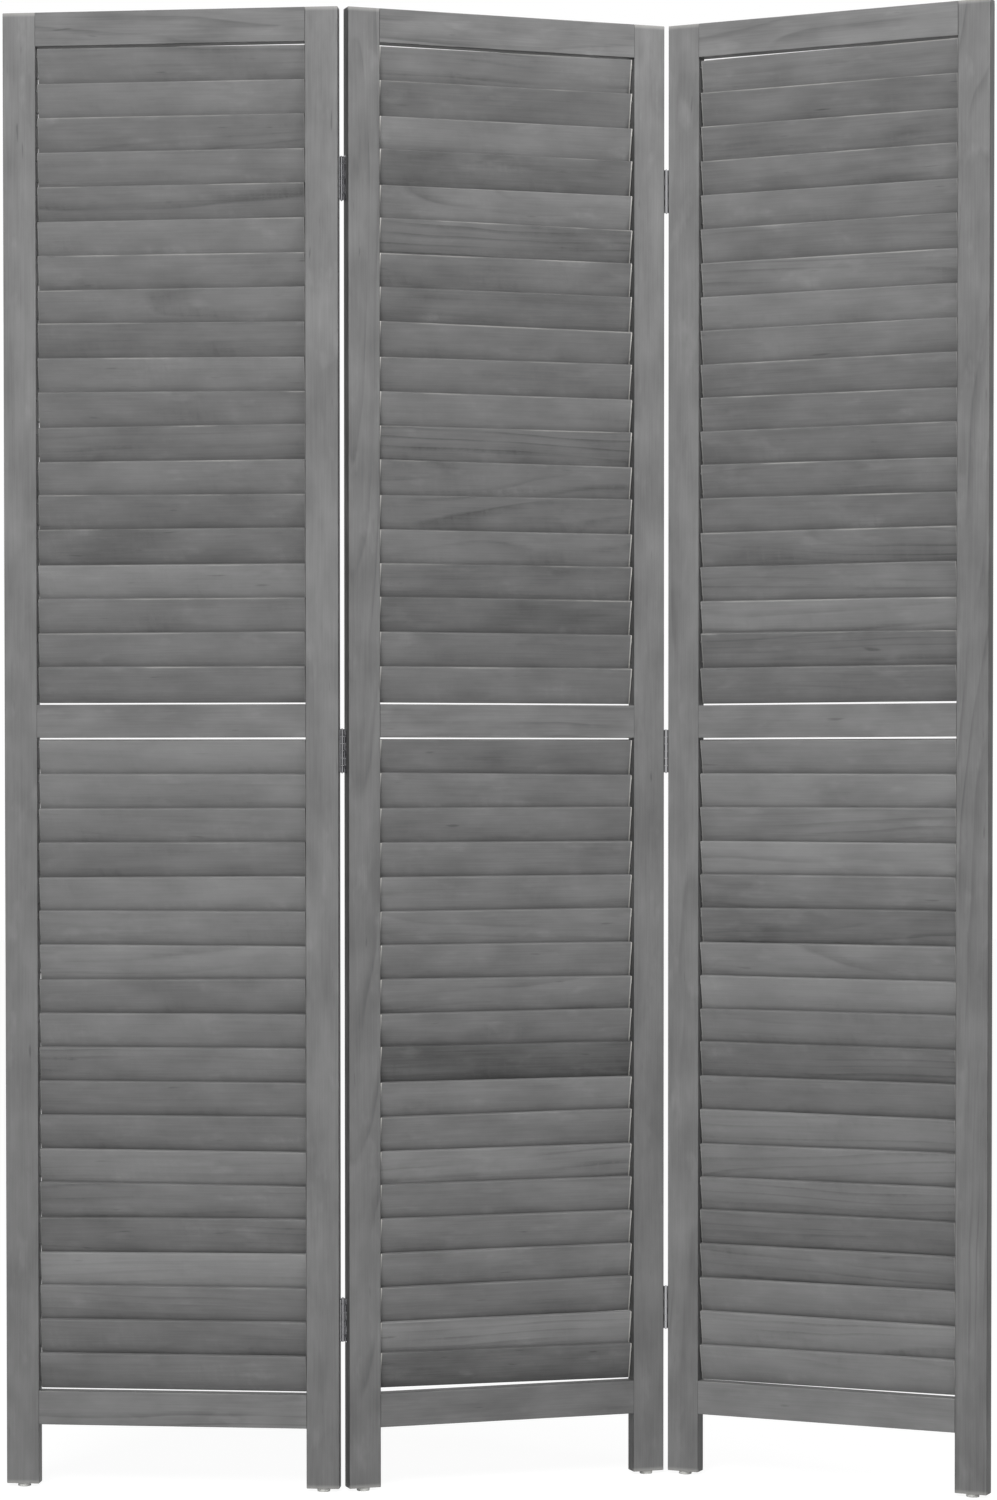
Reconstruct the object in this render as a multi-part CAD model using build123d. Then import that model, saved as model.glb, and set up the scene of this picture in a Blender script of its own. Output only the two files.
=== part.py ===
from build123d import *
import math
import os

# A folding screen of three louvred panels, standing in a zigzag, in millimetres.
# The front is -Y, +Z is up, and the origin is on the floor at the middle of the screen's plan.
# Each panel is made in a frame of its own: X runs across it from its left edge, Y = 0 is the
# middle of its thickness, and Z = 0 is the floor. The panels are then placed about their hinges.

# The whole screen
screen_height = 1700.0
panel_width = 388.0
frame_thickness = 18.0
middle_panel_yaw = 18.0
left_fold = 24.0
right_fold = 43.0

# Frame of one panel
stile_width = 38.0
end_rail_height = 39.0
middle_rail_height = 38.0
leg_height = 69.0
frame_easing = 1.0

# Dowels that join the rails to the stiles
dowel_diameter = 8.0
dowel_in_stile = 20.0
dowel_in_rail = 20.0
dowel_spacing = 18.0
dowel_chamfer = 1.0

# Slats
slat_width = 42.0
slat_thickness = 6.0
slat_tilt = 12.0
slat_easing = 1.0
largest_slat_pitch = 39.5
slat_edge_gap = 2.0
slat_end_gap = 1.0

# Pins that hold the slats' ends
slat_pin_diameter = 2.5
slat_pin_in_stile = 6.0
slat_pin_in_slat = 7.0
slat_pin_spacing = 24.0

# Glides under the legs, each with its nail
glide_diameter = 15.0
glide_thickness = 4.0
glide_easing = 1.0
nail_diameter = 1.8
nail_in_leg = 14.0
nail_head_diameter = 5.0
nail_head_thickness = 1.2
nail_head_below_leg = 1.4

# Hinges
hinge_height = 50.0
hinge_end_distance = 193.0
leaf_thickness = 1.0
leaf_reach = 12.0
leaf_corner = 1.5
knuckle_count = 6
knuckle_gap = 0.3
axis_outside_face = 1.0
hinge_pin_diameter = 2.0
hinge_pin_end = 1.0

# Screws of the hinges
screw_diameter = 2.6
screw_head_diameter = 4.6
screw_in_stile = 11.0
screw_point = 2.5
screw_from_axis = 7.2
screw_spacing = 18.0
recess_width = 0.6
recess_span = 2.6
recess_depth = 0.6

# Clearances
running_clearance = 0.05
seat_clearance = 0.05
hole_end_clearance = 0.5

# Sizes that follow from the ones above
barrel_radius = hinge_pin_diameter / 2 + running_clearance + leaf_thickness
axis_depth = frame_thickness / 2 + axis_outside_face
stile_bottom = glide_thickness
stile_height = screen_height - stile_bottom
opening_width = panel_width - 2 * stile_width
rails_height = 2 * end_rail_height + middle_rail_height
bay_height = (stile_height - leg_height - rails_height) / 2
bottom_rail_base = stile_bottom + leg_height
lower_bay_base = bottom_rail_base + end_rail_height
middle_rail_base = lower_bay_base + bay_height
upper_bay_base = middle_rail_base + middle_rail_height
top_rail_base = upper_bay_base + bay_height
tilt = math.radians(slat_tilt)
slat_rise = (
    (slat_width - 2 * slat_easing) * math.cos(tilt)
    + (slat_thickness - 2 * slat_easing) * math.sin(tilt)
    + 2 * slat_easing
)
slat_travel = bay_height - 2 * slat_edge_gap - slat_rise
slat_steps = math.ceil(slat_travel / largest_slat_pitch)
slat_pitch = slat_travel / slat_steps
slat_length = opening_width - 2 * slat_end_gap

BAYS = {"lower": lower_bay_base, "upper": upper_bay_base}
RAILS = {
    "bottom_rail": (bottom_rail_base, end_rail_height),
    "middle_rail": (middle_rail_base, middle_rail_height),
    "top_rail": (top_rail_base, end_rail_height),
}
HINGE_LEVELS = {
    "lower": stile_bottom + hinge_end_distance,
    "centre": stile_bottom + stile_height / 2,
    "upper": screen_height - hinge_end_distance,
}


def block(x, y, z):
    """A box from its low and high values along each axis."""
    size = (x[1] - x[0], y[1] - y[0], z[1] - z[0])
    return Pos(x[0], y[0], z[0]) * Box(*size, align=(Align.MIN, Align.MIN, Align.MIN))


def rod_along_x(radius, x_low, x_high, y, z):
    """A round rod that runs along X."""
    rod = Cylinder(radius, x_high - x_low, align=(Align.CENTER, Align.CENTER, Align.MIN))
    return Pos(x_low, y, z) * Rot(0, 90, 0) * rod


def rod_along_z(radius, z_low, z_high):
    """A round rod that stands on Z."""
    rod = Cylinder(radius, z_high - z_low, align=(Align.CENTER, Align.CENTER, Align.MIN))
    return Pos(0, 0, z_low) * rod


def frame_faces():
    return (-frame_thickness / 2, frame_thickness / 2)


def slat_centres(bay):
    """Heights of the middle of each slat in a bay, from the lowest up."""
    first = BAYS[bay] + slat_edge_gap + slat_rise / 2
    return [first + step * slat_pitch for step in range(slat_steps + 1)]


def slat_pin_points():
    """Y and Z of every slat pin at one end of a panel's slats."""
    points = []
    for bay in BAYS:
        for height in slat_centres(bay):
            for across in (-slat_pin_spacing / 2, slat_pin_spacing / 2):
                points.append((-across * math.sin(tilt), height + across * math.cos(tilt)))
    return points


def dowel_heights():
    """Z of every dowel at one end of a panel's rails."""
    heights = []
    for base, height in RAILS.values():
        for offset in (-dowel_spacing / 2, dowel_spacing / 2):
            heights.append(base + height / 2 + offset)
    return heights


def screw_heights():
    """Z of every hinge screw along one edge of a panel."""
    offsets = (-screw_spacing, 0, screw_spacing)
    return [level + offset for level in HINGE_LEVELS.values() for offset in offsets]


def mirrored_across(shape):
    """The same shape at the other side of the panel."""
    return Pos(panel_width, 0, 0) * mirror(shape, Plane.YZ)


def left_stile_holes():
    """Holes in a left stile: rail dowels, slat pins and the glide's nail."""
    dowel_depth = dowel_in_stile + hole_end_clearance
    pin_depth = slat_pin_in_stile + hole_end_clearance
    dowel_radius = dowel_diameter / 2 + seat_clearance
    pin_radius = slat_pin_diameter / 2 + seat_clearance
    holes = [
        rod_along_x(dowel_radius, stile_width - dowel_depth, stile_width, 0, z)
        for z in dowel_heights()
    ]
    holes += [
        rod_along_x(pin_radius, stile_width - pin_depth, stile_width, y, z)
        for y, z in slat_pin_points()
    ]
    nail_top = stile_bottom + nail_in_leg + hole_end_clearance
    nail_hole = rod_along_z(nail_diameter / 2 + seat_clearance, stile_bottom, nail_top)
    holes.append(Pos(stile_width / 2, 0, 0) * nail_hole)
    return holes


def left_screw_holes(barrel_side):
    """Pilot holes for hinge screws in a left edge. barrel_side is +1 with the barrel at the back."""
    radius = screw_diameter / 2 + seat_clearance
    y = barrel_side * (axis_depth - screw_from_axis)
    depth = screw_in_stile + hole_end_clearance
    return [rod_along_x(radius, 0, depth, y, z) for z in screw_heights()]


def stile(side, barrel_side):
    """One upright of a panel. barrel_side is 0 where no hinges are fixed to its outer edge."""
    bar = block((0, stile_width), frame_faces(), (stile_bottom, screen_height))
    bar = fillet(bar.edges(), frame_easing)
    holes = left_stile_holes()
    if barrel_side:
        holes += left_screw_holes(barrel_side)
    bar -= holes
    return bar if side == "left" else mirrored_across(bar)


def rail(base, height):
    """A rail between the stiles, butted against them, with its dowel holes."""
    x_low = stile_width
    x_high = panel_width - stile_width
    bar = block((x_low, x_high), frame_faces(), (base, base + height))
    bar = fillet(bar.edges().filter_by(Axis.X), frame_easing)
    radius = dowel_diameter / 2 + seat_clearance
    depth = dowel_in_rail + hole_end_clearance
    holes = []
    for offset in (-dowel_spacing / 2, dowel_spacing / 2):
        z = base + height / 2 + offset
        holes.append(rod_along_x(radius, x_low, x_low + depth, 0, z))
        holes.append(rod_along_x(radius, x_high - depth, x_high, 0, z))
    return bar - holes


def slat():
    """One slat, tilted about its own middle, with its top edge forward and its pin holes."""
    section = Plane.YZ * RectangleRounded(slat_thickness, slat_width, slat_easing)
    board = extrude(section, slat_length / 2, both=True)
    radius = slat_pin_diameter / 2 + seat_clearance
    depth = slat_pin_in_slat + hole_end_clearance
    end = slat_length / 2
    holes = []
    for z in (-slat_pin_spacing / 2, slat_pin_spacing / 2):
        holes.append(rod_along_x(radius, end - depth, end, 0, z))
        holes.append(rod_along_x(radius, -end, depth - end, 0, z))
    return Rot(slat_tilt, 0, 0) * (board - holes)


def slats(bay):
    """All the slats of one bay."""
    board = slat()
    return [Pos(panel_width / 2, 0, z) * board for z in slat_centres(bay)]


def rail_dowels():
    """The dowels at both ends of a panel's rails."""
    dowel = rod_along_x(
        dowel_diameter / 2, stile_width - dowel_in_stile, stile_width + dowel_in_rail, 0, 0
    )
    dowel = chamfer(dowel.edges().filter_by(GeomType.CIRCLE), dowel_chamfer)
    left = [Pos(0, 0, z) * dowel for z in dowel_heights()]
    return left + [mirrored_across(each) for each in left]


def slat_pins():
    """The pins at both ends of a panel's slats."""
    x_low = stile_width - slat_pin_in_stile
    x_high = stile_width + slat_end_gap + slat_pin_in_slat
    pin = rod_along_x(slat_pin_diameter / 2, x_low, x_high, 0, 0)
    left = [Pos(0, y, z) * pin for y, z in slat_pin_points()]
    return left + [mirrored_across(each) for each in left]


def glide_nail():
    """A nail with its head moulded into a glide, standing on the glide's axis."""
    head_top = stile_bottom - nail_head_below_leg
    head = rod_along_z(nail_head_diameter / 2, head_top - nail_head_thickness, head_top)
    shank = rod_along_z(nail_diameter / 2, head_top, stile_bottom + nail_in_leg)
    return head + shank


def glide_nail_room():
    """The room for the nail inside a glide."""
    head_top = stile_bottom - nail_head_below_leg
    head_radius = nail_head_diameter / 2 + seat_clearance
    head = rod_along_z(
        head_radius, head_top - nail_head_thickness - seat_clearance, head_top + seat_clearance
    )
    return head + rod_along_z(nail_diameter / 2 + seat_clearance, head_top, stile_bottom)


def glide():
    """The round plastic foot under a leg."""
    disc = rod_along_z(glide_diameter / 2, 0, glide_thickness)
    bottom_edge = disc.edges().sort_by(Axis.Z)[0]
    return fillet(bottom_edge, glide_easing) - glide_nail_room()


def under_legs(shape):
    """Copies of a shape under the left and the right leg."""
    x = stile_width / 2
    return [Pos(x, 0, 0) * shape, Pos(panel_width - x, 0, 0) * shape]


def knuckle_spans(which):
    """Low and high Z of the knuckles of one leaf: 0 for the lowest, third and fifth, else 1."""
    height = (hinge_height - (knuckle_count - 1) * knuckle_gap) / knuckle_count
    spans = []
    for index in range(which, knuckle_count, 2):
        low = -hinge_height / 2 + index * (height + knuckle_gap)
        spans.append((low, low + height))
    return spans


def leaf_plate():
    """The flat of a leaf against a stile whose edge is at +X from the hinge axis."""
    plate = block(
        (barrel_radius - leaf_thickness, barrel_radius),
        (0, leaf_reach),
        (-hinge_height / 2, hinge_height / 2),
    )
    far_corners = plate.edges().filter_by(Axis.X).group_by(Axis.Y)[-1]
    return fillet(far_corners, leaf_corner)


def countersink(clearance):
    """A screw's head and shank along +X, with its flat top where the leaf faces the other leaf."""
    inner_face = barrel_radius - leaf_thickness
    head_radius = screw_head_diameter / 2 + clearance
    shank_radius = screw_diameter / 2 + clearance
    cone = Cone(head_radius, shank_radius, leaf_thickness, align=(Align.CENTER, Align.CENTER, Align.MIN))
    return Pos(inner_face, screw_from_axis, 0) * Rot(0, 90, 0) * cone


def hinge_leaf(which):
    """A leaf about the hinge axis, its plate at +X and reaching along +Y."""
    leaf = leaf_plate()
    for low, high in knuckle_spans(1 - which):
        clear = rod_along_z(barrel_radius + knuckle_gap, low - knuckle_gap, high + knuckle_gap)
        leaf -= clear
    for low, high in knuckle_spans(which):
        leaf += rod_along_z(barrel_radius, low, high)
    bore = hinge_pin_diameter / 2 + running_clearance
    leaf -= rod_along_z(bore, -hinge_height, hinge_height)
    for z in (-screw_spacing, 0, screw_spacing):
        leaf -= Pos(0, 0, z) * countersink(seat_clearance)
    return leaf


def hinge_pin():
    """The pin of a hinge, with rounded ends that stand out of the barrel."""
    half = hinge_height / 2 + hinge_pin_end
    pin = rod_along_z(hinge_pin_diameter / 2, -half, half)
    return fillet(pin.edges().filter_by(GeomType.CIRCLE), hinge_pin_end)


def hinge_screw():
    """A countersunk cross-head screw through a leaf at +X from the hinge axis."""
    radius = screw_diameter / 2
    tip = barrel_radius + screw_in_stile
    y = screw_from_axis
    shank = rod_along_x(radius, barrel_radius, tip - screw_point, y, 0)
    point = Cone(radius, radius / 4, screw_point, align=(Align.CENTER, Align.CENTER, Align.MIN))
    screw = countersink(0) + shank + Pos(tip - screw_point, y, 0) * Rot(0, 90, 0) * point
    face = barrel_radius - leaf_thickness
    reach = recess_span / 2
    slot = recess_width / 2
    screw -= block((face, face + recess_depth), (y - slot, y + slot), (-reach, reach))
    screw -= block((face, face + recess_depth), (y - reach, y + reach), (-slot, slot))
    return screw


def on_left_edge(shape, barrel_side):
    """Places a hinge piece made at +X of the axis on a panel's left edge."""
    place = Pos(-barrel_radius, barrel_side * axis_depth, 0)
    if barrel_side > 0:
        shape = mirror(shape, Plane.XZ)
    return place * shape


def on_right_edge(shape, barrel_side):
    """Places a hinge piece made at +X of the axis on a panel's right edge."""
    return mirrored_across(on_left_edge(shape, barrel_side))


def at_levels(shape):
    """Copies of a hinge piece at the three hinge levels."""
    return {level: Pos(0, 0, z) * shape for level, z in HINGE_LEVELS.items()}


def edge_screws(place, barrel_side):
    """All the hinge screws along one edge of a panel."""
    screw = place(hinge_screw(), barrel_side)
    return [Pos(0, 0, z) * screw for z in screw_heights()]


def panel_parts(name, left_barrel, right_barrel):
    """The frame, slats, joinery and feet of one panel, in the panel's own frame."""
    glides = under_legs(glide())
    parts = {
        f"{name}_left_stile": stile("left", left_barrel),
        f"{name}_right_stile": stile("right", right_barrel),
        f"{name}_upper_slats": slats("upper"),
        f"{name}_lower_slats": slats("lower"),
        f"{name}_rail_dowels": rail_dowels(),
        f"{name}_slat_pins": slat_pins(),
        f"{name}_left_glide": glides[0],
        f"{name}_right_glide": glides[1],
        f"{name}_glide_nails": under_legs(glide_nail()),
    }
    for rail_name, (base, height) in RAILS.items():
        parts[f"{name}_{rail_name}"] = rail(base, height)
    return parts


def left_panel_parts():
    parts = panel_parts("left_panel", 0, BACK)
    leaf = on_right_edge(hinge_leaf(0), BACK)
    for level, piece in at_levels(leaf).items():
        parts[f"left_{level}_hinge_outer_leaf"] = piece
    parts["left_panel_hinge_screws"] = edge_screws(on_right_edge, BACK)
    return parts


def middle_panel_parts():
    parts = panel_parts("middle_panel", BACK, FRONT)
    left_leaf = on_left_edge(hinge_leaf(1), BACK)
    right_leaf = on_right_edge(hinge_leaf(1), FRONT)
    left_pin = on_left_edge(hinge_pin(), BACK)
    right_pin = on_right_edge(hinge_pin(), FRONT)
    pieces = {
        "left_{}_hinge_inner_leaf": left_leaf,
        "left_{}_hinge_pin": left_pin,
        "right_{}_hinge_inner_leaf": right_leaf,
        "right_{}_hinge_pin": right_pin,
    }
    for pattern, shape in pieces.items():
        for level, piece in at_levels(shape).items():
            parts[pattern.format(level)] = piece
    parts["middle_panel_left_hinge_screws"] = edge_screws(on_left_edge, BACK)
    parts["middle_panel_right_hinge_screws"] = edge_screws(on_right_edge, FRONT)
    return parts


def right_panel_parts():
    parts = panel_parts("right_panel", FRONT, 0)
    leaf = on_left_edge(hinge_leaf(0), FRONT)
    for level, piece in at_levels(leaf).items():
        parts[f"right_{level}_hinge_outer_leaf"] = piece
    parts["right_panel_hinge_screws"] = edge_screws(on_left_edge, FRONT)
    return parts


def panel_places():
    """Where each panel stands: the outer two are turned about the hinge axes of the middle one."""
    middle = Rot(0, 0, middle_panel_yaw) * Pos(-panel_width / 2, 0, 0)
    right_edge_axis = panel_width + barrel_radius
    left = middle * Pos(-barrel_radius, axis_depth, 0) * Rot(0, 0, -left_fold)
    left = left * Pos(-right_edge_axis, -axis_depth, 0)
    right = middle * Pos(right_edge_axis, -axis_depth, 0) * Rot(0, 0, -right_fold)
    right = right * Pos(barrel_radius, axis_depth, 0)
    return {"left": left, "middle": middle, "right": right}


def plan_shift(places):
    """The move that brings the middle of the frames' plan over the origin."""
    outline = fillet(
        block((0, panel_width), frame_faces(), (0, screen_height)).edges(), frame_easing
    )
    plan = Compound(children=[place * outline for place in places.values()]).bounding_box()
    centre = plan.center()
    return Pos(-centre.X, -centre.Y, 0)


def as_one_shape(piece):
    return Compound(children=piece) if isinstance(piece, list) else piece


BACK = 1
FRONT = -1

places = panel_places()
shift = plan_shift(places)
places = {name: shift * place for name, place in places.items()}
left_axis = (places["middle"] * Pos(-barrel_radius, axis_depth, 0)).position
right_axis = (places["middle"] * Pos(panel_width + barrel_radius, -axis_depth, 0)).position

bodies = {
    "left": left_panel_parts(),
    "middle": middle_panel_parts(),
    "right": right_panel_parts(),
}

os.makedirs("parts", exist_ok=True)
for body, parts in bodies.items():
    for node, piece in parts.items():
        export_step(places[body] * as_one_shape(piece), f"parts/{node}.step")

print("slats in a bay", slat_steps + 1, "pitch", round(slat_pitch, 2))
print("left hinge axis", left_axis, "right hinge axis", right_axis)
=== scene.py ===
# %% [markdown]
# # A folding louvred screen, dressed in stained wood
#
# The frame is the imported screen: three panels of stiles, rails and slats, joined by small butt hinges.
# This lesson loads it, sets the camera, works out where each panel stands, gives the boards their
# stained wood, builds the slats one by one, and finishes the hinges and the feet.

# %% Load the frame
import math

import bpy
import numpy as np
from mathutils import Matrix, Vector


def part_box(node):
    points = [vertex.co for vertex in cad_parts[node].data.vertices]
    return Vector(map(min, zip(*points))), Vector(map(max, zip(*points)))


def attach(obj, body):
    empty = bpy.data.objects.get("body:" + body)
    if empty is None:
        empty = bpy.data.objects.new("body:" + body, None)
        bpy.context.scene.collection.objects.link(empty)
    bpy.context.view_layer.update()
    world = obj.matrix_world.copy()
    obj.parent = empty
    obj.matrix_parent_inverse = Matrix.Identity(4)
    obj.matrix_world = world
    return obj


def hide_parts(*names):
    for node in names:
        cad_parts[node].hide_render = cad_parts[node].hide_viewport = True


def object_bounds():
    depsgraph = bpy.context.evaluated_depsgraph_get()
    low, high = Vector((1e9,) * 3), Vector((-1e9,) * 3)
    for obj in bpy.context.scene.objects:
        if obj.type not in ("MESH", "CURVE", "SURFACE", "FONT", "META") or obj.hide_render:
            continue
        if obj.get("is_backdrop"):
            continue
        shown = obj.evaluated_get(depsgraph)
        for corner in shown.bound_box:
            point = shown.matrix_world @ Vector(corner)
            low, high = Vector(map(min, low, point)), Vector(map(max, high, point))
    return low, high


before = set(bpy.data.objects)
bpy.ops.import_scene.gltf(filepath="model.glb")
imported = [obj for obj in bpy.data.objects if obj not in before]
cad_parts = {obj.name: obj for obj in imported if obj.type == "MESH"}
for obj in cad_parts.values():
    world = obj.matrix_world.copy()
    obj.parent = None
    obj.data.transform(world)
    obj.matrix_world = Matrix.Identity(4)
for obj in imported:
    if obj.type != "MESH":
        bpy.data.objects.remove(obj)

MM = 0.001
cad_low, cad_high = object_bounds()
print("frame loaded,", len(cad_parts), "nodes, box", [round(x, 4) for x in cad_high - cad_low])

# %% [markdown]
# ## The camera
#
# The picture was taken from straight ahead, a little under half way up the screen, with a long lens.
# A camera is placed by hand or worked out from corners with known places. Here it was worked out: its
# place, its focal length in pixels, and how far its axis lies from the middle of the picture. A lens
# shift holds that last part, so that the uprights stay parallel as in an architect's view.

# %% Camera
PICTURE_WIDTH_PX = 997
PICTURE_HEIGHT_PX = 1500
FOCAL_LENGTH_PX = 3869.5
AXIS_LEFT_OF_MIDDLE_PX = 100.0
AXIS_BELOW_MIDDLE_PX = 112.1
CAMERA_PLACE = (-110.6 * MM, -4475.2 * MM, 822.7 * MM)
CAMERA_PITCH = math.radians(-1.27)
CAMERA_ROLL = math.radians(0.05)
SENSOR = 36.0

camera = bpy.data.objects.new("camera", bpy.data.cameras.new("camera"))
bpy.context.scene.collection.objects.link(camera)
camera.location = CAMERA_PLACE
camera.rotation_euler = (math.pi / 2 + CAMERA_PITCH, CAMERA_ROLL, 0)
camera.data.sensor_width = SENSOR
camera.data.lens = SENSOR * FOCAL_LENGTH_PX / PICTURE_HEIGHT_PX
camera.data.shift_x = AXIS_LEFT_OF_MIDDLE_PX / PICTURE_HEIGHT_PX
camera.data.shift_y = AXIS_BELOW_MIDDLE_PX / PICTURE_HEIGHT_PX
bpy.context.scene.camera = camera
print("camera lens", round(camera.data.lens, 1), "mm")

# %% [markdown]
# ## Where the panels stand
#
# Each panel is turned about the vertical, so its boards don't run along the world's axes. The middles
# of its two stiles give the panel's own axes: X across it, Y through it towards the back, Z up.

# %% Panels
PANELS = ("left_panel", "middle_panel", "right_panel")


def middle_of(node):
    low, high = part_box(node)
    return np.array((low + high) / 2)


def panel_place(panel):
    """The point on the floor midway between the stiles, and the panel's turn about Z."""
    left = middle_of(f"{panel}_left_stile")
    right = middle_of(f"{panel}_right_stile")
    across = right - left
    middle = (left + right) / 2
    middle[2] = 0
    return middle, math.atan2(across[1], across[0])


def turn_about_z(points, angle):
    """Rows of points, turned about Z: x cos - y sin, x sin + y cos."""
    c, s = math.cos(angle), math.sin(angle)
    x, y, z = np.moveaxis(points, -1, 0)
    return np.stack([x * c - y * s, x * s + y * c, z], -1)


def board_box(panel, node):
    """A board's low and high corners in its panel's own axes."""
    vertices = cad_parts[node].data.vertices
    points = np.empty(3 * len(vertices), np.float32)
    vertices.foreach_get("co", points)
    middle, yaw = places[panel]
    own = turn_about_z(points.reshape(-1, 3).astype(float) - middle, -yaw)
    return own.min(0), own.max(0)


places = {panel: panel_place(panel) for panel in PANELS}
for panel, (middle, yaw) in places.items():
    print(panel, "at", middle.round(4), "turned", round(math.degrees(yaw), 2), "degrees")

# %% [markdown]
# ## Two small helpers for materials
#
# A colour is written as the sRGB hex value that a picture editor shows, and a shader needs it linear.
# The second helper adds one node: a plain value goes into an input, and a socket is linked to it.

# %% Material helpers


def linear(hex_colour):
    """Linear RGBA of an sRGB hex colour: the inverse of the sRGB curve."""
    srgb = np.array([int(hex_colour[i : i + 2], 16) for i in (1, 3, 5)]) / 255
    rgb = np.where(srgb <= 0.04045, srgb / 12.92, ((srgb + 0.055) / 1.055) ** 2.4)
    return (*rgb, 1.0)


def add(tree, kind, inputs, **settings):
    """Adds a node with its settings. Each input gets a value, or a link if a socket is given."""
    node = tree.nodes.new(kind)
    for name, value in settings.items():
        setattr(node, name, value)
    for name, value in inputs.items():
        if isinstance(value, bpy.types.NodeSocket):
            tree.links.new(value, node.inputs[name])
        else:
            node.inputs[name].default_value = value
    return node


def new_material(name):
    material = bpy.data.materials.new(name)
    material.use_nodes = True
    material.node_tree.nodes.clear()
    return material, material.node_tree


# %% [markdown]
# ## Stained wood
#
# The boards are planed paulownia, a light plantation wood, wiped with a thin grey stain. To the eye it
# is a mid grey with a satin face. Its growth rings show as faint long lines, or as arches where a board
# was cut across them, its fibres as fine streaks, and the stain lies in soft clouds. The narrow sides of
# a board are painted darker, as painted shade, and handling has worn the stain off some edges and ends,
# where the pale wood is partly a painted highlight.
#
# A picture of wood could be wrapped round the boards, but a solid pattern is truer: the ring is the
# distance from the heart of the tree, and each board is a cut through it. The heart's place is drawn by
# chance from the board's number, so no two boards are alike and each edge agrees with its face.

# %% Wood sizes and colours
STAIN_THIN = "#979797"
STAIN_DEEP = "#4a4a4a"
# Pale wood where the stain is worn off, also used as a painted highlight on some slat edges and ends
RUBBED_AND_LIT_EDGE = "#e6e4df"
RING_WIDTH = 10 * MM
HEART_AWAY = 75 * MM
HEART_LEAN = 0.08
RING_DRIFT = 22 * MM
UNEVEN_YEARS = 2.2
GRAIN_RELIEF = 0.12 * MM

# Each noise pattern: how often it changes in a metre along and across the board, and its finer detail
CLOUDS = (13, 28, 3)
STREAKS = (4, 110, 3)
FIBRES = (16, 640, 2)
MARKS = (24, 170, 1)
SCUFFS = (20, 50, 3)
RING_WANDER = (3.5, 12, 2)
LINE_GAPS = (6, 30, 1)
RUB_AND_HIGHLIGHT_PATCHES = (9, 40, 3)

# How much each pattern adds to the depth of the stain
CLOUD_SHARE = 0.66
STREAK_SHARE = 0.26
FIBRE_SHARE = 0.22
RING_SHARE = 0.26
MARK_SHARE = 0.25
SCUFF_SHARE = -0.20
MEAN_STAIN = 0.46
EVEN_STAIN = MEAN_STAIN - 0.5 * (CLOUD_SHARE + STREAK_SHARE + FIBRE_SHARE)
WOOD_ROUGHNESS = (0.50, 0.64)


# %% Grain
def grain(tree, place, along, across, detail):
    """Noise drawn out along the board: its grains are about 1/along by 1/across metres."""
    stretched = add(
        tree, "ShaderNodeVectorMath", {0: place, 1: (along, across, across)}, operation="MULTIPLY"
    )
    return add(tree, "ShaderNodeTexNoise", {"Vector": stretched.outputs[0], "Scale": 1, "Detail": detail})


def over(tree, pattern, start, full):
    """The part of a pattern that is over a level, from 0 at start to 1 at full."""
    return add(tree, "ShaderNodeMapRange", {0: pattern.outputs[0], 1: start, 2: full}).outputs[0]


# %% Growth rings
def growth_rings(tree, place, own, chance):
    """Distance from the heart of the tree, which lies beside the board, leans and drifts along it, and
    the dark line at the end of each year's wood."""
    heart = add(
        tree,
        "ShaderNodeVectorMath",
        {0: chance.outputs["Color"], 1: (2, 2, 2), 2: (-1, -1, -1)},
        operation="MULTIPLY_ADD",
    )
    side = add(tree, "ShaderNodeSeparateXYZ", {0: heart.outputs[0]}).outputs
    drift = add(
        tree,
        "ShaderNodeVectorMath",
        {0: grain(tree, own, *RING_WANDER).outputs["Color"], 1: (0, RING_DRIFT, RING_DRIFT), 2: place},
        operation="MULTIPLY_ADD",
    )
    x, y, z = add(tree, "ShaderNodeSeparateXYZ", {0: drift.outputs[0]}).outputs
    lean = add(tree, "ShaderNodeMath", {0: side[0], 1: HEART_LEAN}, operation="MULTIPLY")
    z = add(tree, "ShaderNodeMath", {0: x, 1: lean.outputs[0], 2: z}, operation="MULTIPLY_ADD").outputs[0]
    y = add(tree, "ShaderNodeMath", {0: side[1], 1: HEART_AWAY, 2: y}, operation="MULTIPLY_ADD")
    z = add(tree, "ShaderNodeMath", {0: side[2], 1: HEART_AWAY, 2: z}, operation="MULTIPLY_ADD")
    flat = add(tree, "ShaderNodeCombineXYZ", {1: y.outputs[0], 2: z.outputs[0]})
    radius = add(tree, "ShaderNodeVectorMath", {0: flat.outputs[0]}, operation="LENGTH").outputs["Value"]

    years = add(tree, "ShaderNodeMath", {0: radius, 1: 1 / RING_WIDTH}, operation="MULTIPLY")
    weather = add(
        tree, "ShaderNodeTexNoise", {"W": years.outputs[0], "Scale": 0.35}, noise_dimensions="1D"
    )
    years = add(
        tree,
        "ShaderNodeMath",
        {0: weather.outputs[0], 1: UNEVEN_YEARS, 2: years.outputs[0]},
        operation="MULTIPLY_ADD",
    )
    year = add(tree, "ShaderNodeMath", {0: years.outputs[0]}, operation="FRACT")
    line = add(tree, "ShaderNodeValToRGB", {0: year.outputs[0]})
    line.color_ramp.elements[0].position = 0.66
    line.color_ramp.elements[0].color = (0, 0, 0, 1)
    line.color_ramp.elements[1].position = 0.92
    line.color_ramp.elements[1].color = (1, 1, 1, 1)
    line.color_ramp.elements.new(1.0).color = (0, 0, 0, 1)
    return radius, line.outputs["Color"]
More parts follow.
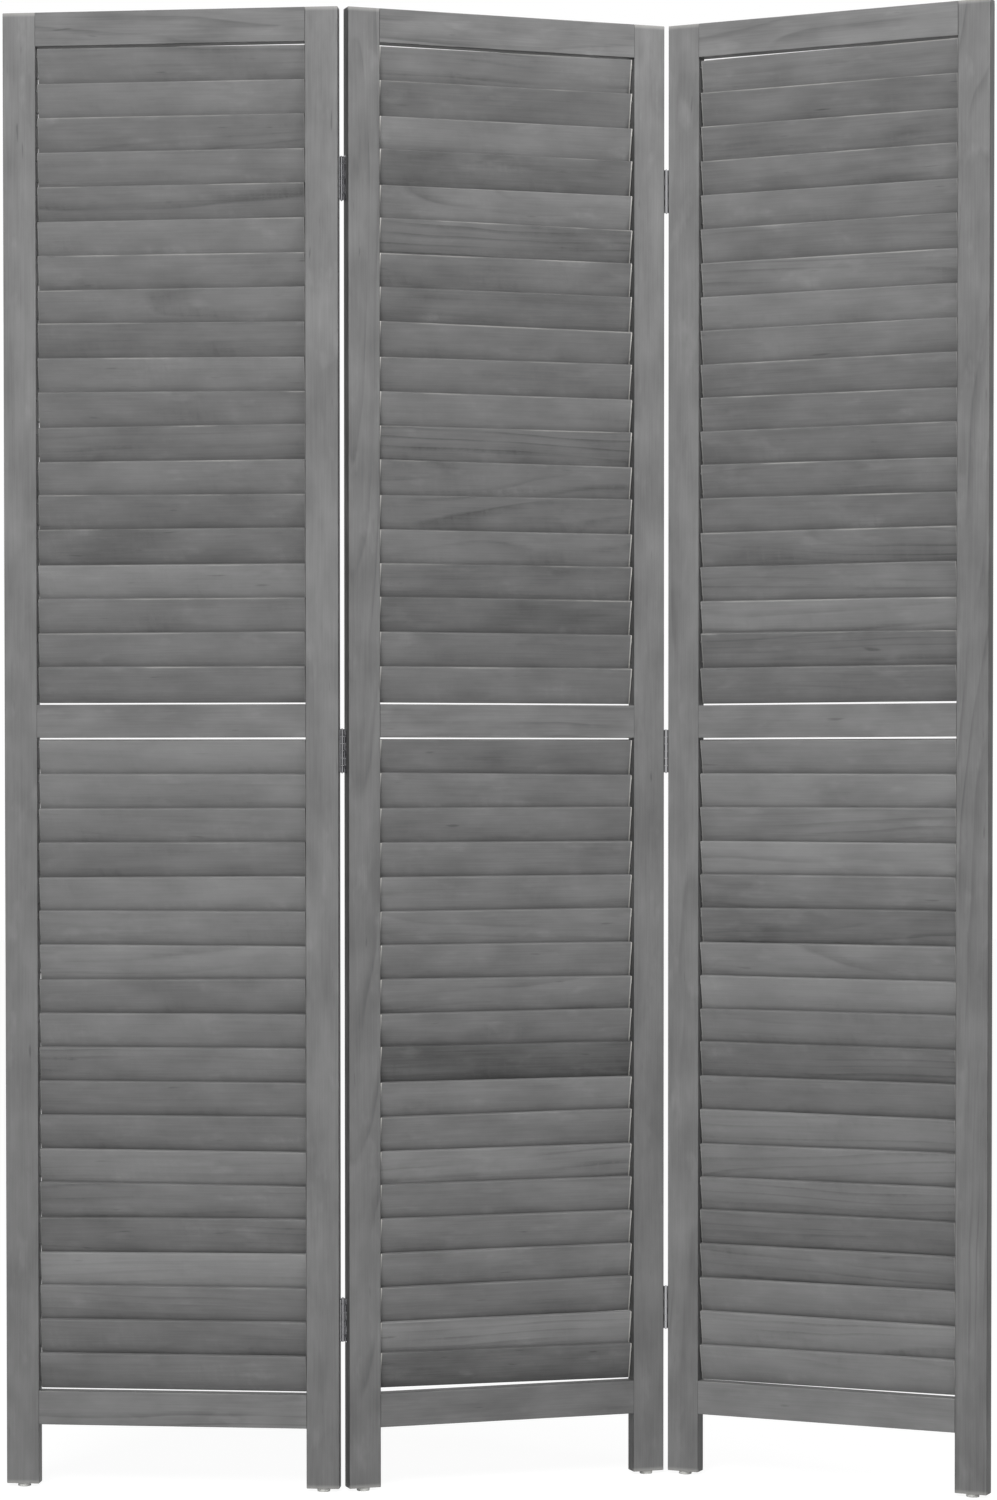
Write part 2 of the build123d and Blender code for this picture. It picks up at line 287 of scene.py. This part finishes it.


# %% Worn edges, painted highlights and painted shade on the sides
def edge_wear_and_painted_light(tree, place, own, half_size, wear_and_shade):
    """How far the stain is worn off along the edges, partly as a painted highlight, and how much painted
    shade darkens the narrow sides. Each distance to a face is 0 on that face, so on an edge two of them
    are 0. wear_and_shade gives how far the long edges and the ends are worn pale, from 0 to 1, how wide,
    and the painted shade on the sides."""
    long_edges, ends, width, side_shade = wear_and_shade
    sides = add(tree, "ShaderNodeVectorMath", {0: place}, operation="ABSOLUTE")
    inward = add(tree, "ShaderNodeVectorMath", {0: half_size, 1: sides.outputs[0]}, operation="SUBTRACT")
    to_end, to_side, to_face = add(tree, "ShaderNodeSeparateXYZ", {0: inward.outputs[0]}).outputs
    near = []
    for distance, strength in ((to_end, ends), (to_side, long_edges), (to_face, 1.0)):
        fade = {0: distance, 1: 0.3 * width, 2: width, 3: strength, 4: 0.0}
        near.append(add(tree, "ShaderNodeMapRange", fade).outputs[0])
    near_end, near_side, near_face = near
    patchy = over(tree, grain(tree, own, *RUB_AND_HIGHLIGHT_PATCHES), 0.50, 0.64)
    # Pale worn edges and ends, partly painted highlights where the edges catch the light
    rubbed_and_lit = add(tree, "ShaderNodeMath", {0: near_side, 1: patchy}, operation="MULTIPLY")
    rubbed_and_lit = add(tree, "ShaderNodeMath", {0: rubbed_and_lit.outputs[0], 1: near_end}, operation="MAXIMUM")
    rubbed_and_lit = add(tree, "ShaderNodeMath", {0: rubbed_and_lit.outputs[0], 1: near_face}, operation="MULTIPLY")
    # Painted shade: the stain is made deeper on the narrow sides, for the shade that falls on them
    painted_side_shade = add(tree, "ShaderNodeMapRange", {0: to_side, 1: 0.2 * MM, 2: 0.6 * MM, 3: side_shade, 4: 0.0})
    return rubbed_and_lit.outputs[0], painted_side_shade.outputs[0]


# %% Wood material
def stained_wood(name, read_board, half_size, wear_and_shade):
    """Stained wood for boards. read_board gives sockets of the place in the board (x along it, y across
    its face, z through it, from its middle), its number and its depth of stain, which on the slats also
    holds painted light and shade; half_size is half of its size that way, and wear_and_shade says how its
    edges are worn pale, partly as painted highlight, and how much painted shade its sides get."""
    material, tree = new_material(name)
    place, number, stain = read_board(tree)

    # Chance numbers of this board, and a place of its own in the wood
    chance = add(tree, "ShaderNodeTexWhiteNoise", {"W": number}, noise_dimensions="1D")
    own = add(
        tree,
        "ShaderNodeVectorMath",
        {0: chance.outputs["Color"], 1: (9.0, 9.0, 9.0), 2: place},
        operation="MULTIPLY_ADD",
    ).outputs[0]
    radius, year_line = growth_rings(tree, place, own, chance)
    rubbed_and_lit, painted_side_shade = edge_wear_and_painted_light(tree, place, own, half_size, wear_and_shade)

    # The lines show on some boards, and come and go along them
    showing = add(tree, "ShaderNodeMath", {0: chance.outputs["Value"], 1: 7.31}, operation="MULTIPLY")
    showing = add(tree, "ShaderNodeMath", {0: showing.outputs[0]}, operation="FRACT")
    showing = add(tree, "ShaderNodeMapRange", {0: showing.outputs[0], 1: 0.4, 2: 0.9})
    come_and_go = over(tree, grain(tree, own, *LINE_GAPS), 0.35, 0.62)
    year_line = add(tree, "ShaderNodeMath", {0: year_line, 1: come_and_go}, operation="MULTIPLY")
    year_line = add(
        tree, "ShaderNodeMath", {0: year_line.outputs[0], 1: showing.outputs[0]}, operation="MULTIPLY"
    ).outputs[0]

    # Streaks follow the rings, so their place is read from along the board and from the heart
    x, y, z = add(tree, "ShaderNodeSeparateXYZ", {0: own}).outputs
    along_rings = add(tree, "ShaderNodeCombineXYZ", {0: x, 1: radius, 2: z}).outputs[0]
    streaks = grain(tree, along_rings, *STREAKS).outputs[0]
    fibres = grain(tree, own, *FIBRES).outputs[0]
    clouds = grain(tree, own, *CLOUDS).outputs[0]
    marks = over(tree, grain(tree, own, *MARKS), 0.75, 0.82)
    scuffs = over(tree, grain(tree, own, *SCUFFS), 0.60, 0.80)
    shares = (
        (clouds, CLOUD_SHARE),
        (streaks, STREAK_SHARE),
        (fibres, FIBRE_SHARE),
        (year_line, RING_SHARE),
        (marks, MARK_SHARE),
        (scuffs, SCUFF_SHARE),
        # painted shade on the narrow sides
        (painted_side_shade, 1.0),
    )
    for pattern, share in shares:
        stain = add(
            tree, "ShaderNodeMath", {0: pattern, 1: share, 2: stain}, operation="MULTIPLY_ADD"
        ).outputs[0]
    colour = add(
        tree,
        "ShaderNodeMix",
        {0: stain, 6: linear(STAIN_THIN), 7: linear(STAIN_DEEP)},
        data_type="RGBA",
    )
    # The pale worn edges go on top, partly as painted highlight
    colour = add(
        tree,
        "ShaderNodeMix",
        {0: rubbed_and_lit, 6: colour.outputs[2], 7: linear(RUBBED_AND_LIT_EDGE)},
        data_type="RGBA",
    )

    # Satin face with a little relief
    gloss, dull = WOOD_ROUGHNESS
    roughness = add(tree, "ShaderNodeMapRange", {0: fibres, 1: 0.3, 2: 0.7, 3: gloss, 4: dull})
    bump = add(tree, "ShaderNodeBump", {"Height": fibres, "Distance": GRAIN_RELIEF, "Strength": 0.5})
    shader = add(
        tree,
        "ShaderNodeBsdfPrincipled",
        {
            "Base Color": colour.outputs[2],
            "Roughness": roughness.outputs[0],
            "Specular IOR Level": 0.3,
            "Normal": bump.outputs[0],
        },
    )
    add(tree, "ShaderNodeOutputMaterial", {"Surface": shader.outputs[0]})
    return material


print("wood ready, rings", RING_WIDTH / MM, "mm wide")

# %% [markdown]
# ## Stiles and rails
#
# The frame's own boards have the right shape, so they stay and only get their wood. The pattern has to
# run along each board, so the place is read from Object coordinates, moved to the board's middle and
# turned with its panel. The three parts of that place are then put in the board's own order.

# %% Dress stiles and rails
STILES = ("left_stile", "right_stile")
RAILS = ("top_rail", "middle_rail", "bottom_rail")
FRAME_TONE_SPREAD = 0.04

# Each panel's boards are all made a little darker or lighter together
PANEL_TONE = {"left_panel": 0.0, "middle_panel": 0.08, "right_panel": -0.04}

# How far long edges and ends are worn pale, partly as painted highlight, how wide, and how much
# painted shade darkens the sides
STILE_WEAR_AND_SHADE = (0.0, 0.25, 5 * MM, 0.45)
RAIL_WEAR_AND_SHADE = (0.2, 0.0, 1.2 * MM, 0.3)


def board_reader(panel, middle, order, number, tone):
    """A reader that gives a frame board's own place. order names which panel axis runs along the board,
    across its face and through it."""

    def read_board(tree):
        place = add(tree, "ShaderNodeTexCoord", {})
        turned = add(
            tree,
            "ShaderNodeMapping",
            {
                "Vector": place.outputs["Object"],
                "Location": middle,
                "Rotation": (0, 0, places[panel][1]),
            },
            vector_type="TEXTURE",
        )
        parts = add(tree, "ShaderNodeSeparateXYZ", {0: turned.outputs[0]})
        own = add(tree, "ShaderNodeCombineXYZ", {i: parts.outputs[axis] for i, axis in enumerate(order)})
        return own.outputs[0], number, tone

    return read_board


number = 0
tones = np.random.default_rng(4).normal(0, FRAME_TONE_SPREAD, len(PANELS) * len(STILES + RAILS))
for panel in PANELS:
    for board in STILES + RAILS:
        tone = EVEN_STAIN + PANEL_TONE[panel] + float(tones[number])
        node = f"{panel}_{board}"
        order = (2, 0, 1) if board in STILES else (0, 2, 1)
        low, high = board_box(panel, node)
        half = (high - low) / 2
        number += 1
        wood = stained_wood(
            f"{node}_grey_stained_paulownia",
            board_reader(panel, tuple(middle_of(node)), order, float(number), tone),
            tuple(half[axis] for axis in order),
            STILE_WEAR_AND_SHADE if board in STILES else RAIL_WEAR_AND_SHADE,
        )
        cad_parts[node].data.materials.clear()
        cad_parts[node].data.materials.append(wood)
print(number, "boards dressed")

# %% [markdown]
# ## Slats
#
# Each bay holds a ladder of thin boards that lean with the top edge forward and lap over each other.
# The solids are 19 equal boards in a row, but on the real screen each one sits a little differently, and
# that is what makes the light play from board to board. So each bay is built anew as one mesh of
# separate boards: a rounded section carried along X, then tilted, twisted and bowed by small amounts.

# %% Slat sizes
SLATS_IN_BAY = 19
SLAT_WIDTH = 42 * MM
SLAT_THICKNESS = 6 * MM
SLAT_EASING = 1.0 * MM
SLAT_TILT = math.radians(12)
SLAT_END_EASING = 0.5 * MM
SLAT_ARC_STEPS = 3
SLAT_STATIONS = 17
BAYS = ("lower", "upper")
# Painted light and shade: lower bays' slats are lighter for the floor's bounce light, upper bays' darker
SLAT_PAINTED_LIGHT_BY_BAY = {"lower": -0.03, "upper": 0.07}
SLAT_TONE_SPREAD = {"lower": 0.12, "upper": 0.07}
# Painted shade: each slat's stain is this much deeper at its bottom edge, and thinner at its top
SLAT_SHADE_BELOW = {"lower": 0.075, "upper": 0.04}
# Upper bays' slat edges get more pale wear than the lower ones, partly as painted highlight
SLAT_EDGE_RUB_AND_HIGHLIGHT = {"lower": 0.05, "upper": 0.25}
# Pale slat ends: on the middle panel partly wear, partly painted light for the bright slits at the stiles
SLAT_END_RUB_AND_LIGHT = {"left_panel": 0.08, "middle_panel": 1.0, "right_panel": 0.2}
SLAT_RUB_AND_HIGHLIGHT_WIDTH = 1.9 * MM
# Painted shade on the slats' top and bottom edges
SLAT_SIDE_SHADE = 0.12
SLIDE = {"left_panel": 0.55 * MM, "middle_panel": -0.6 * MM, "right_panel": 0.5 * MM}

# Faults of fitting: how far boards stray from their places, and the end slats' share of it
LIFT_SPREAD = 0.45 * MM
ROLL_SPREAD = 0.5 * MM
TILT_SPREAD_DEG = 0.55
TWIST_SPREAD_DEG = 0.25
BOW_SPREAD = 0.25 * MM
SLIDE_SPREAD = 0.3 * MM
END_SLATS_SHARE = 0.25

# How far the two ends of a bay's first or last slat lie off their places, upwards, as (left, right)
END_SLAT_LIFT = {
    ("left_panel", "lower", 0): (0.3 * MM, 0.3 * MM),
    ("middle_panel", "lower", 0): (3.4 * MM, 0.3 * MM),
    ("right_panel", "lower", 0): (-0.9 * MM, 0.5 * MM),
    ("left_panel", "upper", -1): (0.9 * MM, -0.9 * MM),
    ("middle_panel", "upper", -1): (-0.9 * MM, 0.9 * MM),
    ("right_panel", "upper", -1): (-1.3 * MM, 0.5 * MM),
}


# %% Slat shape


def slat_grid(length):
    """Points of one upright slat as an array of stations by section points. Along X the stations are
    even, with one more near each end, where the section shrinks by the easing. The section is a rounded
    rectangle: four quarter circles about the corner centres, and straight lines between them."""
    inner = np.linspace(-length / 2 + SLAT_END_EASING, length / 2 - SLAT_END_EASING, SLAT_STATIONS)
    x = np.concatenate([[-length / 2], inner, [length / 2]])
    shrink = np.zeros(len(x))
    shrink[[0, -1]] = SLAT_END_EASING
    turn = np.linspace(0, np.pi / 2, SLAT_ARC_STEPS + 1) + np.arange(4)[:, None] * np.pi / 2
    side = np.array([[1, 1], [-1, 1], [-1, -1], [1, -1]])
    y = side[:, :1] * (SLAT_WIDTH / 2 - SLAT_EASING) + SLAT_EASING * np.cos(turn)
    z = side[:, 1:] * (SLAT_THICKNESS / 2 - SLAT_EASING) + SLAT_EASING * np.sin(turn)
    y, z = y.ravel(), z.ravel()
    grid = np.empty((len(x), len(y), 3))
    grid[..., 0] = x[:, None]
    grid[..., 1] = y - shrink[:, None] * np.sign(y)
    grid[..., 2] = z - shrink[:, None] * np.sign(z)
    return grid


def grid_faces(stations, around, first):
    """Quads between neighbouring stations, with the section closed on itself, and the two end faces."""
    i, j = np.meshgrid(np.arange(stations - 1), np.arange(around), indexing="ij")
    k = (j + 1) % around
    quads = np.stack([i * around + j, (i + 1) * around + j, (i + 1) * around + k, i * around + k], -1)
    faces = (quads.reshape(-1, 4) + first).tolist()
    faces.append((np.arange(around) + first).tolist())
    faces.append((np.arange(around)[::-1] + first + (stations - 1) * around).tolist())
    return faces


def fit_end_slats(panel, bay, lift, roll):
    """Some end slats sit askew, which opens or closes the slit of light beside a rail."""
    for (its_panel, its_bay, slat), (left, right) in END_SLAT_LIFT.items():
        if (its_panel, its_bay) == (panel, bay):
            lift[slat] = (left + right) / 2
            roll[slat] = (right - left) / 2


def lay_slats(panel, bay, seed):
    """All slats of a bay in their places, each with its own small faults of fitting."""
    node = f"{panel}_{bay}_slats"
    low, high = board_box(panel, node)
    grid = slat_grid(high[0] - low[0])
    stations, around = grid.shape[:2]
    rise = (SLAT_WIDTH - 2 * SLAT_EASING) * math.cos(SLAT_TILT)
    rise += (SLAT_THICKNESS - 2 * SLAT_EASING) * math.sin(SLAT_TILT) + 2 * SLAT_EASING
    heights = np.linspace(low[2] + rise / 2, high[2] - rise / 2, SLATS_IN_BAY)
    chance = np.random.default_rng(seed)
    inner = np.ones(SLATS_IN_BAY)
    inner[[0, -1]] = END_SLATS_SHARE
    lift = chance.normal(0, LIFT_SPREAD, SLATS_IN_BAY) * inner
    roll = chance.normal(0, ROLL_SPREAD, SLATS_IN_BAY) * inner
    tilt = SLAT_TILT + np.radians(chance.normal(0, TILT_SPREAD_DEG, SLATS_IN_BAY))
    twist = np.radians(chance.normal(0, TWIST_SPREAD_DEG, SLATS_IN_BAY))
    bow = chance.normal(0, BOW_SPREAD, SLATS_IN_BAY)
    slide = chance.uniform(-SLIDE_SPREAD, SLIDE_SPREAD, SLATS_IN_BAY) + SLIDE[panel]

    # The tones have a draw of their own, so that changed faults leave them as they are
    tone = np.random.default_rng(seed).normal(0, 1, SLATS_IN_BAY)
    tone = (tone - tone.mean()) / tone.std() * SLAT_TONE_SPREAD[bay]
    tone += EVEN_STAIN + PANEL_TONE[panel] + SLAT_PAINTED_LIGHT_BY_BAY[bay]
    fit_end_slats(panel, bay, lift, roll)

    # Axis order of the arrays: slat, station, section point
    share = grid[..., 0] / grid[-1, 0, 0]
    angle = tilt[:, None, None] + twist[:, None, None] * share
    y, z = grid[..., 1], grid[..., 2]
    up = y * np.cos(angle) - z * np.sin(angle)
    back = -y * np.sin(angle) - z * np.cos(angle)
    points = np.empty((SLATS_IN_BAY, stations, around, 3))
    points[..., 0] = grid[..., 0] + slide[:, None, None]
    points[..., 1] = back + bow[:, None, None] * (1 - share**2)
    points[..., 2] = up + (heights + lift)[:, None, None] + roll[:, None, None] * share
    middle, yaw = places[panel]
    points = turn_about_z(points, yaw) + middle

    mesh = bpy.data.meshes.new(f"{node}_boards")
    faces = []
    for slat in range(SLATS_IN_BAY):
        faces += grid_faces(stations, around, slat * stations * around)
    mesh.from_pydata(points.reshape(-1, 3), [], faces)
    mesh.polygons.foreach_set("use_smooth", np.ones(len(faces), bool))

    # What the wood reads: the place in the board, the board's number and its depth of stain. Painted
    # shade is added to it: each slat is made darker towards its bottom edge, under the lap of the slat
    # below
    own = np.broadcast_to(grid, points.shape).astype(np.float32)
    mesh.attributes.new("board_place", "FLOAT_VECTOR", "POINT").data.foreach_set("vector", own.ravel())
    numbers = np.repeat(np.arange(SLATS_IN_BAY) + 100 * seed, stations * around).astype(np.float32)
    mesh.attributes.new("board_number", "FLOAT", "POINT").data.foreach_set("value", numbers)
    painted_shade_below = SLAT_SHADE_BELOW[bay] * grid[..., 1] / (SLAT_WIDTH / 2)
    tones = (tone[:, None, None] - painted_shade_below).astype(np.float32)
    mesh.attributes.new("board_tone_and_shade", "FLOAT", "POINT").data.foreach_set("value", tones.ravel())
    slats = bpy.data.objects.new(f"{node}_boards", mesh)
    bpy.context.scene.collection.objects.link(slats)
    slats.modifiers.new("even_normals", "WEIGHTED_NORMAL")
    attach(slats, panel)
    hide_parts(node)
    return slats, grid[-1, 0, 0]


# %% Slats in place


def read_slat(tree):
    place = add(tree, "ShaderNodeAttribute", {}, attribute_name="board_place")
    number = add(tree, "ShaderNodeAttribute", {}, attribute_name="board_number")
    tone = add(tree, "ShaderNodeAttribute", {}, attribute_name="board_tone_and_shade")
    return place.outputs["Vector"], number.outputs["Fac"], tone.outputs["Fac"]


seed = 0
for panel in PANELS:
    for bay in BAYS:
        seed += 1
        slats, half_length = lay_slats(panel, bay, seed)
        wood = stained_wood(
            f"{panel}_{bay}_slats_grey_stained_paulownia",
            read_slat,
            (half_length, SLAT_WIDTH / 2, SLAT_THICKNESS / 2),
            (SLAT_EDGE_RUB_AND_HIGHLIGHT[bay], SLAT_END_RUB_AND_LIGHT[panel], SLAT_RUB_AND_HIGHLIGHT_WIDTH, SLAT_SIDE_SHADE),
        )
        slats.data.materials.append(wood)
        print(slats.name, len(slats.data.polygons), "faces")

# %% [markdown]
# ## Hinges, screws and feet
#
# The hinges are small steel butt hinges with a nickel plating, so their metal is nearly a mirror with
# fine marks of handling. The feet are nylon glides, milky and a little see-through.

# %% Metal and nylon
NICKEL = "#a2a2a4"
SCREW_ZINC = "#77777a"
BEECH = "#c9a77c"
BEECH_FLECK = "#b08a5e"
NYLON = "#e6e6e2"
NYLON_DEPTH = 3 * MM
NYLON_PEEL = 1.2 * MM
MARK_SPACING = 0.4 * MM
FLECK_LENGTH = 1.5 * MM


def plated_steel(name, colour, roughness):
    """Plated steel: a metal whose gloss changes with fine marks of handling."""
    material, tree = new_material(name)
    place = add(tree, "ShaderNodeTexCoord", {})
    marks = add(
        tree,
        "ShaderNodeTexNoise",
        {"Vector": place.outputs["Object"], "Scale": 1 / MARK_SPACING, "Detail": 2},
    )
    gloss = add(
        tree,
        "ShaderNodeMapRange",
        {0: marks.outputs[0], 1: 0.3, 2: 0.7, 3: roughness * 0.8, 4: roughness * 1.25},
    )
    bump = add(
        tree,
        "ShaderNodeBump",
        {"Height": marks.outputs[0], "Distance": 0.01 * MM, "Strength": 0.3},
    )
    shader = add(
        tree,
        "ShaderNodeBsdfPrincipled",
        {
            "Base Color": linear(colour),
            "Metallic": 1.0,
            "Roughness": gloss.outputs[0],
            "Normal": bump.outputs[0],
        },
    )
    add(tree, "ShaderNodeOutputMaterial", {"Surface": shader.outputs[0]})
    return material


def moulded_nylon(name):
    """Natural nylon as moulded: milky, with a soft gloss and a faint orange-peel surface."""
    material, tree = new_material(name)
    place = add(tree, "ShaderNodeTexCoord", {})
    peel = add(
        tree,
        "ShaderNodeTexNoise",
        {"Vector": place.outputs["Object"], "Scale": 1 / NYLON_PEEL, "Detail": 1},
    )
    bump = add(
        tree, "ShaderNodeBump", {"Height": peel.outputs[0], "Distance": 0.03 * MM, "Strength": 0.4}
    )
    shader = add(
        tree,
        "ShaderNodeBsdfPrincipled",
        {
            "Base Color": linear(NYLON),
            "Roughness": 0.42,
            "IOR": 1.53,
            "Subsurface Weight": 0.6,
            "Subsurface Radius": (NYLON_DEPTH, NYLON_DEPTH, NYLON_DEPTH),
            "Subsurface Scale": 1.0,
            "Normal": bump.outputs[0],
        },
    )
    add(tree, "ShaderNodeOutputMaterial", {"Surface": shader.outputs[0]})
    return material


def turned_rod(name, colour, fleck):
    """Turned wood with short fine flecks."""
    material, tree = new_material(name)
    place = add(tree, "ShaderNodeTexCoord", {})
    flecks = add(
        tree,
        "ShaderNodeTexNoise",
        {"Vector": place.outputs["Object"], "Scale": 1 / FLECK_LENGTH, "Detail": 3},
    )
    colour = add(
        tree,
        "ShaderNodeMix",
        {0: flecks.outputs[0], 6: linear(colour), 7: linear(fleck)},
        data_type="RGBA",
    )
    shader = add(
        tree, "ShaderNodeBsdfPrincipled", {"Base Color": colour.outputs[2], "Roughness": 0.6}
    )
    add(tree, "ShaderNodeOutputMaterial", {"Surface": shader.outputs[0]})
    return material


# %% Dress the small parts
leaf_steel = plated_steel("nickel_plated_steel_leaves", NICKEL, 0.11)
pin_steel = plated_steel("nickel_plated_steel_pins", NICKEL, 0.11)
screw_steel = plated_steel("zinc_plated_steel_screws", SCREW_ZINC, 0.26)
nail_steel = plated_steel("bright_drawn_steel_nails", SCREW_ZINC, 0.4)
glide_nylon = moulded_nylon("moulded_nylon_glides")
dowel_wood = turned_rod("turned_beech_dowels", BEECH, BEECH_FLECK)
pin_wood = turned_rod("grey_stained_slat_pins", STAIN_DEEP, STAIN_THIN)
FINISHES = {
    "_leaf": leaf_steel,
    "_pin": pin_steel,
    "_hinge_screws": screw_steel,
    "_glide": glide_nylon,
    "_glide_nails": nail_steel,
    "_rail_dowels": dowel_wood,
    "_slat_pins": pin_wood,
}
for node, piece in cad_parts.items():
    for ending, finish in FINISHES.items():
        if node.endswith(ending):
            piece.data.materials.clear()
            piece.data.materials.append(finish)
print("small parts dressed")

# %% [markdown]
# ## Studio
#
# The floor is pale, and the world is white to the camera. A large softbox lights the screen from the
# front, a small one from high on the right, and a weak third lights only the floor before the screen,
# which throws soft light up on the slats, whose faces look down a little.

# %% Floor, world and lamps
FLOOR_SIDE = 30.0
FLOOR_PALE = "#f2f2f2"
FLOOR_SEEN = "#7a7a7a"
FLOOR_GLOW = 0.94
AMBIENT = 0.15
KEY_POWER = 97.0
KEY_PLACE = (-1.0, -3.1, 3.3)
KEY_SIZE = 1.8
KEY_AIM = (0.0, 0.0, 1.0)
SIDE_POWER = 20.0
SIDE_PLACE = (1.4, -0.9, 2.5)
SIDE_SIZE = 0.6
SIDE_AIM = (0.0, 0.0, 1.2)
BOUNCE_POWER = 3.0
BOUNCE_PLACE = (0.0, -1.25, 2.4)
BOUNCE_SIZE = 1.0
BOUNCE_SPREAD = math.radians(60)


def seen_directly(tree):
    """1 for what the camera, gloss and clear things see, and 0 for the light that falls on things."""
    path = add(tree, "ShaderNodeLightPath", {}).outputs
    seen = path["Is Camera Ray"]
    for ray in ("Is Glossy Ray", "Is Transmission Ray"):
        seen = add(tree, "ShaderNodeMath", {0: seen, 1: path[ray]}, operation="MAXIMUM").outputs[0]
    return seen


floor_mesh = bpy.data.meshes.new("floor")
corner = FLOOR_SIDE / 2
corners = [(-corner, -corner, 0), (corner, -corner, 0), (corner, corner, 0), (-corner, corner, 0)]
floor_mesh.from_pydata(corners, [], [(0, 1, 2, 3)])
floor = bpy.data.objects.new("floor", floor_mesh)
bpy.context.scene.collection.objects.link(floor)
floor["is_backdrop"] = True

material, tree = new_material("pale_floor")
matt = add(tree, "ShaderNodeBsdfDiffuse", {"Color": linear(FLOOR_PALE)})
half_matt = add(tree, "ShaderNodeBsdfDiffuse", {"Color": linear(FLOOR_SEEN)})
white = add(tree, "ShaderNodeEmission", {"Color": (1, 1, 1, 1), "Strength": FLOOR_GLOW})
pale = add(tree, "ShaderNodeAddShader", {0: half_matt.outputs[0], 1: white.outputs[0]})
mixed = add(
    tree, "ShaderNodeMixShader", {0: seen_directly(tree), 1: matt.outputs[0], 2: pale.outputs[0]}
)
add(tree, "ShaderNodeOutputMaterial", {"Surface": mixed.outputs[0]})
floor.data.materials.append(material)

world = bpy.data.worlds.new("studio")
bpy.context.scene.world = world
world.use_nodes = True
tree = world.node_tree
tree.nodes.clear()
room = add(tree, "ShaderNodeBackground", {"Color": (1, 1, 1, 1), "Strength": AMBIENT})
white = add(tree, "ShaderNodeBackground", {"Color": (1, 1, 1, 1), "Strength": 1.0})
mixed = add(
    tree, "ShaderNodeMixShader", {0: seen_directly(tree), 1: room.outputs[0], 2: white.outputs[0]}
)
add(tree, "ShaderNodeOutputWorld", {"Surface": mixed.outputs[0]})


def softbox(name, place, aim, side, power):
    """A square area lamp that faces a point."""
    lamp = bpy.data.lights.new(name, "AREA")
    lamp.size = side
    lamp.energy = power
    box = bpy.data.objects.new(name, lamp)
    bpy.context.scene.collection.objects.link(box)
    way = np.array(aim) - np.array(place)
    box.location = place
    box.rotation_euler = (math.atan2(math.hypot(way[0], way[1]), -way[2]), 0, math.atan2(-way[0], way[1]))
    return lamp


softbox("key_softbox", KEY_PLACE, KEY_AIM, KEY_SIZE, KEY_POWER)
softbox("side_softbox", SIDE_PLACE, SIDE_AIM, SIDE_SIZE, SIDE_POWER)
bounce = softbox("floor_softbox", BOUNCE_PLACE, (*BOUNCE_PLACE[:2], 0.0), BOUNCE_SIZE, BOUNCE_POWER)
bounce.spread = BOUNCE_SPREAD
bpy.context.scene.view_settings.view_transform = "Standard"
print("studio ready")

# %% Sizes and finish
low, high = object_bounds()
growth = [round((b - a) / MM, 2) for a, b in zip((*low, *cad_high), (*cad_low, *high))]
print("box grows by", growth, "mm")
